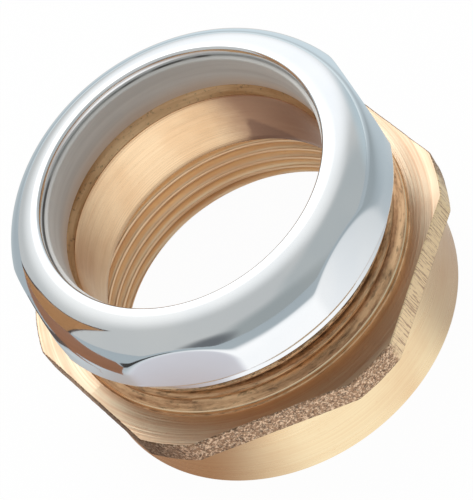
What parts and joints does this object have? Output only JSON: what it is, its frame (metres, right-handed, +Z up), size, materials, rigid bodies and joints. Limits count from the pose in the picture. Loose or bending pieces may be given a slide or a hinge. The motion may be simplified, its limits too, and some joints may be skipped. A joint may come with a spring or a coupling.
{
  "type": "trap waste connector",
  "caption": "Brass trap waste connector: pipe-threaded barrel with a hexagon flange, and a domed chrome slip nut over a sealing washer that grips a waste tube.",
  "frame": {"origin": "centre of the plain barrel end, on the surface that it stands on", "axes": "+Z up along the tube axis towards the slip nut, +X square to a flat of the hexagon flange"},
  "size_m": [0.0554, 0.06, 0.0356],
  "materials": {
    "body_brass": "as cast and turned",
    "nut_chrome": "polished plate",
    "washer_grey": "satin"
  },
  "bodies": {
    "body": {"connector_body": "body_brass"},
    "washer": {"slip_joint_washer": "washer_grey"},
    "nut": {"slip_nut": "nut_chrome"}
  },
  "joints": [
    {"name": "nut_lift", "type": "slide", "parent": "body", "child": "washer", "axis": [0, 0, 1], "range_m": [0, 0.00442]},
    {"name": "nut_turn", "type": "hinge", "parent": "washer", "child": "nut", "pos_m": [0, 0, 0.029], "axis": [0, 0, 1], "range_deg": [0, 720]}
  ],
  "couplings": [
    {"joint": "nut_turn", "follows": "nut_lift", "rad_per_m": 2844.7}
  ]
}
